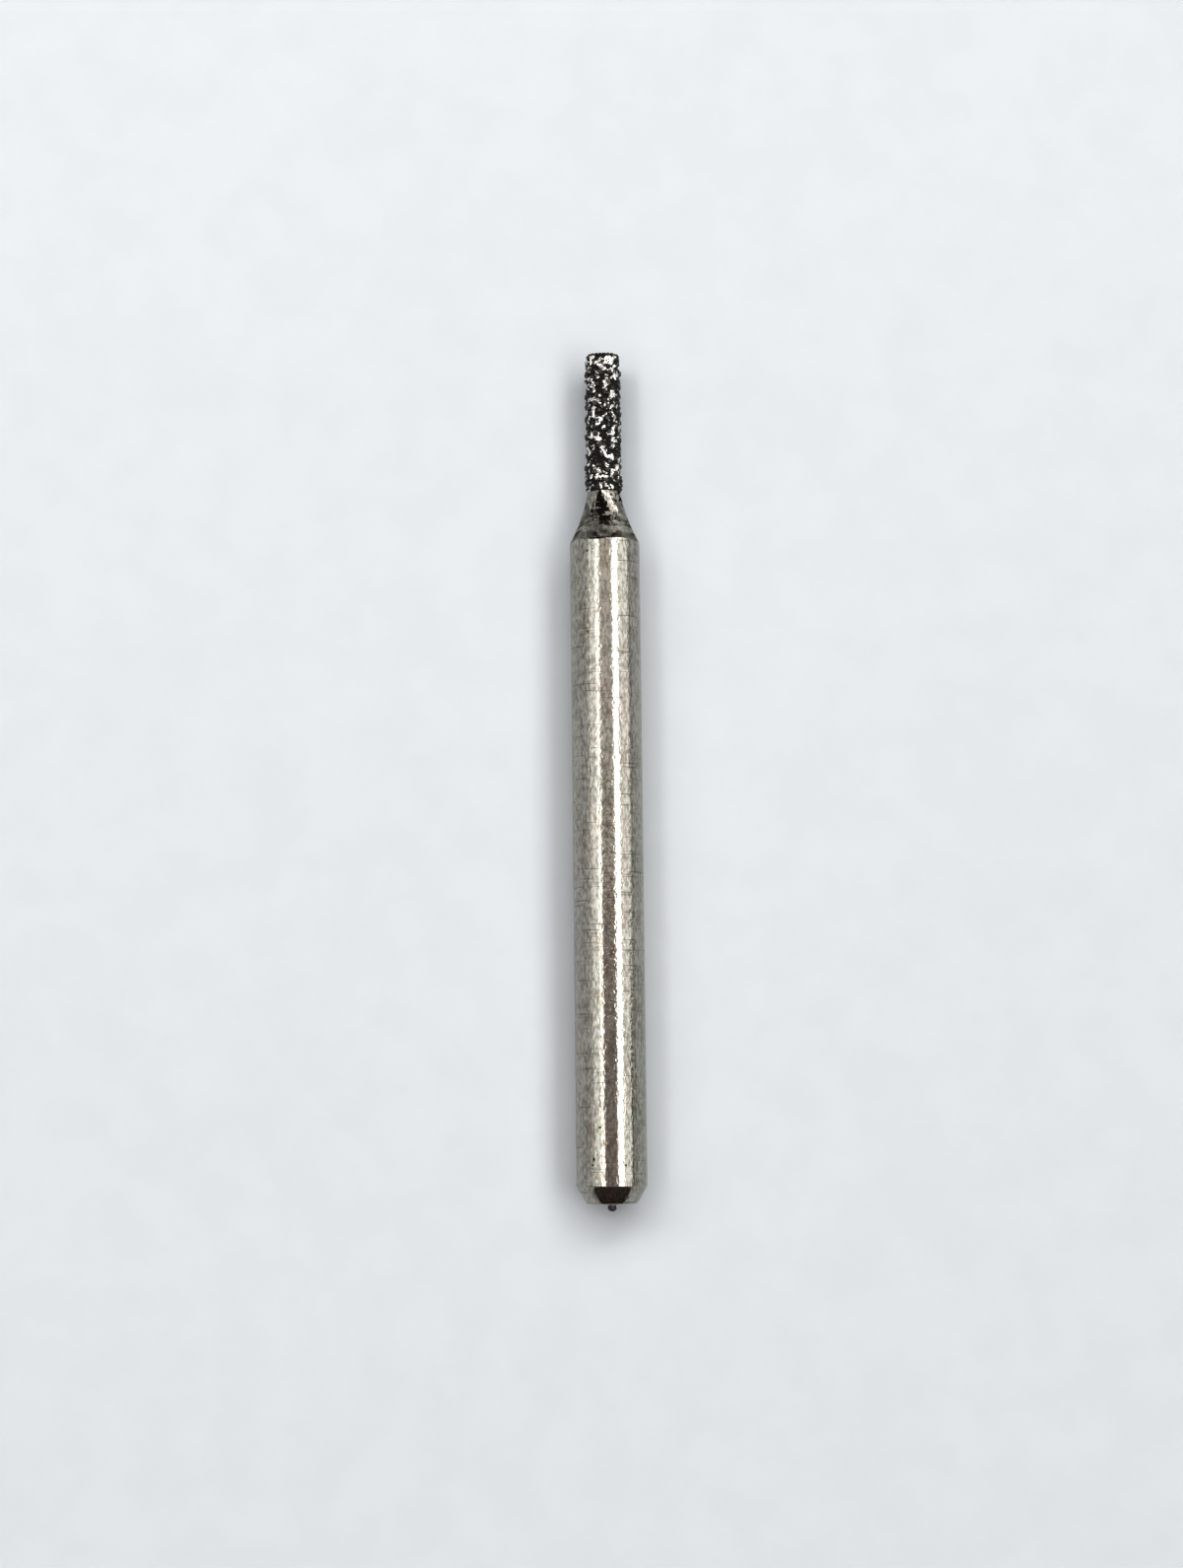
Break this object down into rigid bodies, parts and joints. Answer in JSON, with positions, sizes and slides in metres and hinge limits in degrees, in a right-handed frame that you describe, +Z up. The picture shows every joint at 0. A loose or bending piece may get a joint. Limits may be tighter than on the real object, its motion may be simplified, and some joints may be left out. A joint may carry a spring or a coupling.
{
  "type": "dental bur",
  "caption": "Friction-grip rotary dental bur: slim steel shank, waisted neck and a flat-ended cylindrical head coated with nickel-bonded diamond grit, worn at the tip.",
  "frame": {"origin": "centre of the shank's rear face, on the axis; the parting nib stands 0.18 mm behind it", "axes": "+Y along the axis towards the cutting head, +Z up, X across"},
  "size_m": [0.0016, 0.0196, 0.0016],
  "materials": {
    "ground_steel": "stainless steel, turned and centreless ground, slightly dulled by use",
    "plated_nickel": "electroplated nickel, bright, drawn up round each grain",
    "diamond": "medium diamond grit, dark grey, glossy broken faces"
  },
  "bodies": {
    "root": {"turned_blank": "ground_steel", "nickel_bond": "plated_nickel", "diamond_grit": "diamond"}
  },
  "joints": []
}
